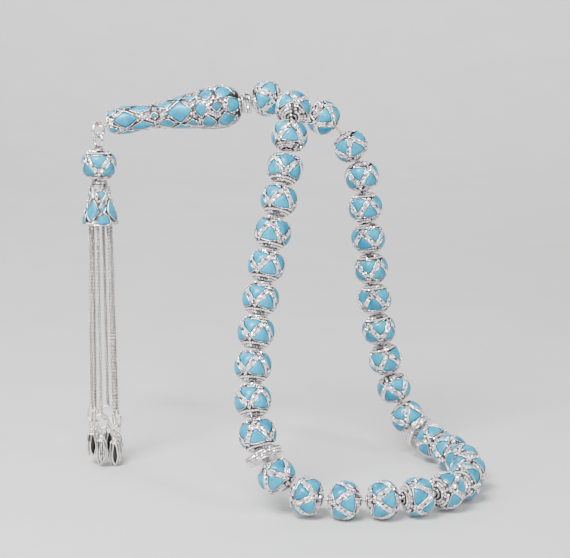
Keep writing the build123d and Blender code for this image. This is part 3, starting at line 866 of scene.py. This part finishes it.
def wire_loop(centre, across, upward, half_width, half_height, n=18):
    """Points on an oval in the plane of two directions."""
    around = np.linspace(0, 2 * pi, n, endpoint=False)
    return np.asarray(centre) + np.cos(around)[:, None] * np.asarray(across) * half_width \
        + np.sin(around)[:, None] * np.asarray(upward) * half_height


def foxtail_mesh(name, points):
    """Foxtail chain: on each of four sides, slanted strokes of wire that meet in a V, over a near-black core that is
    painted shade in the gaps between the strokes.
    """
    build = Build()
    centres, directions, _ = resampled(points / MM, FOXTAIL_PITCH)
    tube(build, centres, FOXTAIL_CORE_R, DARK, 8)
    side = np.array([0.35, 0.94, 0.0])
    for c, d in zip(centres[:-1], directions):
        a = side - d * side.dot(d)
        a /= np.linalg.norm(a)
        b = np.cross(d, a)
        for k in range(4):
            for lean in (-1, 1):
                stroke = []
                for u in (-0.1, 0.25, 0.6, 1.0):
                    turn = k * pi / 2 + lean * u * pi / 4
                    out = 0.37 - 0.1 * (u - 0.3) ** 2
                    stroke.append(c + (cos(turn) * a + sin(turn) * b) * out - d * (u - 0.5) * 0.7)
                tube(build, stroke, [0.1, 0.15, 0.15, 0.09], BRIGHT, 5)
    return build.mesh(name, CHAIN_MATERIALS)


def charm_mesh():
    """Tulip drop, hung from z = 0: a cap and four long leaves of thick wire round a near-black heart, painted shade
    seen through the leaves, two of them open and two filled with granules, with a ball at each tip."""
    build = Build()
    cap = [(0.0, 0.0), (0.42, -0.02), (0.62, -0.25), (0.72, -0.6), (0.78, -1.0), (0.9, -1.3), (0.8, -1.5),
           (0.0, -1.6)]
    lathe(build, cap[::-1], BRIGHT, 24)
    tube(build, hoop(0.8, -1.0, 24), 0.12, BRIGHT, 5, closed=True)
    belly = [(0.0, 0.5), (0.5, 0.72), (1.6, 0.95), (3.2, 1.3), (4.7, 1.5), (5.9, 1.42), (6.9, 1.08), (CHARM_H, 0.8)]
    depths, radii = np.array(belly).T
    lathe(build, [(max(0.05, r - 0.42), -depth) for depth, r in reversed(belly[2:-1])], DARK, 24)
    for k in range(4):
        middle = k * pi / 2

        def on(u, depth, out=0.0):
            """Point on the belly, u round from the leaf's middle."""
            r = float(np.interp(depth, depths, radii)) + out
            turn = middle + u / max(r, 0.5)
            return (r * cos(turn), r * sin(turn), -depth)

        def half_width(t):
            return 0.68 * sin(pi * t ** 1.3) ** 0.7 + 0.08

        # the leaf's outline: down one side from the cap, round the tip and up the other
        steps = np.linspace(0, 1, 12)
        one_side = [on(half_width(t), 1.2 + 5.9 * t) for t in steps]
        other_side = [on(-half_width(t), 1.2 + 5.9 * t) for t in steps[::-1]]
        tube(build, one_side + other_side, 0.24, BRIGHT, 7)
        if k % 2:
            rows = [on(x, depth) for depth in np.arange(2.0, 6.9, 0.4) for x in (-0.22, 0.22)]
            granules(build, rows, 0.19)
        granules(build, [on(0, 7.25)], 0.34)
        # rib between this leaf and the next
        rib = [on(pi / 4 * float(np.interp(depth, depths, radii)), depth, -0.12)
               for depth in np.linspace(1.2, 6.6, 8)]
        tube(build, rib, 0.13, BRIGHT, 5)
    return build.mesh("drop", CHAIN_MATERIALS)


drop = charm_mesh()
for i, length in enumerate(CHAIN_LENGTHS):
    name = f"chain_{i + 1}"
    angle = CHAIN_FIRST_ANGLE + 60 * i
    hang = Vector(joints[f"{name}_swing"]["pos_m"]) / MM
    start = hang - Vector((0, 0, TOP_LINK_SAG + TOP_LINK_R))
    end = start + level(angle) * CHAIN_SPREAD - Vector((0, 0, length))
    line = along_spline(name, [tuple(start.lerp(end, u)) for u in (0, 0.33, 0.67, 1)])
    run = put(f"{name}_links", foxtail_mesh(name, line), Matrix(), name, "chain", name)
    # top link and the open ring at the lower end
    build = Build()
    tube(build, wire_loop(hang - Vector((0, 0, TOP_LINK_SAG)), level(angle), (0, 0, 1), TOP_LINK_R, TOP_LINK_R, 20),
         LINK_WIRE_R * 0.9, BRIGHT, closed=True)
    ring_centre = end - Vector((0, 0, END_RING_R))
    along = level(angle + END_RING_TURN + 90)
    tube(build, wire_loop(ring_centre, along, (0, 0, 1), END_RING_R, END_RING_R, 40), END_WIRE_R * 0.92, BRIGHT, 8,
         closed=True)
    granules(build, [end + Vector((0, 0, 0.1))], 0.5)
    rings = put(f"{name}_rings", build.mesh(f"{name}_rings", [CHAIN_SILVER]), Matrix(), name, "chain")
    # the drop, with its loop through the ring
    pivot = end - Vector((0, 0, 2 * END_RING_R))
    loop_centre = pivot - Vector((0, 0, CHARM_LOOP_R - LINK_WIRE_R - END_WIRE_R - CHARM_PLAY))
    build = Build()
    across = level(angle + END_RING_TURN)
    tube(build, wire_loop(loop_centre, across, (0, 0, 1), CHARM_LOOP_R * 0.72, CHARM_LOOP_R, 24), LINK_WIRE_R, BRIGHT,
         closed=True)
    charm_name = f"charm_{i + 1}"
    loop_mesh = build.mesh(f"{charm_name}_loop", [CHAIN_SILVER])
    loop = put(f"{charm_name}_loop", loop_mesh, Matrix(), charm_name, "silver")
    top = loop_centre - Vector((0, 0, CHARM_LOOP_R - LINK_WIRE_R))
    charm = put(f"{charm_name}_look", drop, frame_matrix(top, (0, 0, 1), level(angle), 28 * i), charm_name, "silver",
                charm_name)


# --- string ---------------------------------------------------------------------------------------
def twisted(name, points, strands, strand_r, lay_r, pitch):
    """Cord of twisted strands along a line."""
    step = 0.5
    build = Build()
    centres, directions, _ = resampled(points / MM, step)
    side = np.cross(directions[0], [0, 0, 1.0])
    sides = []
    for d in directions:
        side = side - d * side.dot(d)
        side /= np.linalg.norm(side)
        sides.append(side)
    sides = np.array(sides)
    ups = np.cross(directions, sides)
    along = np.arange(len(centres)) * step
    for k in range(strands):
        turn = 2 * pi * (along / pitch + k / strands)
        path = centres + lay_r * (np.cos(turn)[:, None] * sides + np.sin(turn)[:, None] * ups)
        tube(build, path, strand_r, BRIGHT)
    return build.mesh(name, [STRING])


line = along_spline("string", ROUTE)
length = resampled(line, 0.0005)[2]
strands = twisted("string", line, STRING_STRANDS, STRAND_R, STRAND_LAY_R, STRAND_PITCH)
string = put("string_look", strands, Matrix(), "root", "string", "string")

# CAD parts whose shape is right keep it, with the silver of the rest
for node in ("imame_end_eye", "tassel_link", "tassel_pin", "chain_hanger", "string_crimp"):
    for slot in frame["nodes"][node].material_slots:
        slot.material = SILVER

# --- floor, light, camera -------------------------------------------------------------------------
# a round pale floor that curves up into a wall on all sides
FLOOR_R, BEND_R, WALL_H, FLOOR_SIDES = 800.0, 400.0, 150.0, 96
floor_z = cad_box[0][2] / MM
sweep = [(FLOOR_R + BEND_R * sin(a), BEND_R * (1 - cos(a))) for a in np.linspace(0.1, pi / 2, 14)]
profile = [(0.1, 0.0), (FLOOR_R * 0.5, 0.0), (FLOOR_R, 0.0)] + sweep + [(FLOOR_R + BEND_R, BEND_R + WALL_H)]
studio = Build()
lathe(studio, [(r, floor_z + z) for r, z in profile], BRIGHT, FLOOR_SIDES)
floor = bpy.data.objects.new("floor", studio.mesh("floor", [floor_material()]))
bpy.context.scene.collection.objects.link(floor)


def area_light(name, place, target, size, power):
    """Soft rectangular lamp that faces the target; places and size in metres, power in watts."""
    light = bpy.data.lights.new(name, "AREA")
    light.shape = "RECTANGLE"
    light.size, light.size_y = size
    light.energy = power
    lamp = bpy.data.objects.new(name, light)
    lamp.location = place
    lamp.rotation_euler = (Vector(target) - Vector(place)).to_track_quat("-Z", "Y").to_euler()
    bpy.context.scene.collection.objects.link(lamp)


centre = (0.015, 0, -0.03)
area_light("key", (-0.16, -0.3, 0.36), centre, (0.24, 0.2), 6.8)
area_light("fill", (0.42, -0.3, 0.12), centre, (0.08, 0.3), 1.0)
area_light("rim", (-0.3, 0.3, 0.35), centre, (0.25, 0.15), 1.6)
# the wall behind the object is lit most, the other three only so that no view has a dark backdrop
for name, turn, power in (("back", 0, 16.0), ("left", 90, 3.0), ("front", 180, 3.0), ("right", 270, 3.0)):
    away = Matrix.Rotation(radians(turn), 3, "Z")
    area_light(f"wall_{name}", away @ Vector((0, 0.6, 0.75)), away @ Vector((0, 1.2, 0.1)), (1.0, 0.2), power)
# small lamps that the stones' facets catch
for k, (x, y, z) in enumerate([(-0.3, -0.35, 0.1), (0.12, -0.42, 0.2), (0.3, -0.25, 0.35), (-0.02, -0.3, 0.45)]):
    area_light(f"spark_{k + 1}", (x, y, z), centre, (0.03, 0.03), 0.7)

world = bpy.data.worlds.new("studio")
world.use_nodes = True
world.node_tree.nodes["Background"].inputs["Color"].default_value = (0.75, 0.77, 0.8, 1)
world.node_tree.nodes["Background"].inputs["Strength"].default_value = 0.06
bpy.context.scene.world = world

# in front and a little above, looking down by this many degrees
CAMERA_AT, CAMERA_DOWN, LENS = (0.017, -0.356, 0.0212), 9.53, 88.42
camera_data = bpy.data.cameras.new("camera")
camera_data.sensor_width = 36.0
camera_data.lens = LENS
camera_data.clip_start = 0.01
camera = bpy.data.objects.new("camera", camera_data)
camera.location = CAMERA_AT
camera.rotation_euler = (radians(90 - CAMERA_DOWN), 0, 0)
bpy.context.scene.collection.objects.link(camera)
bpy.context.scene.camera = camera
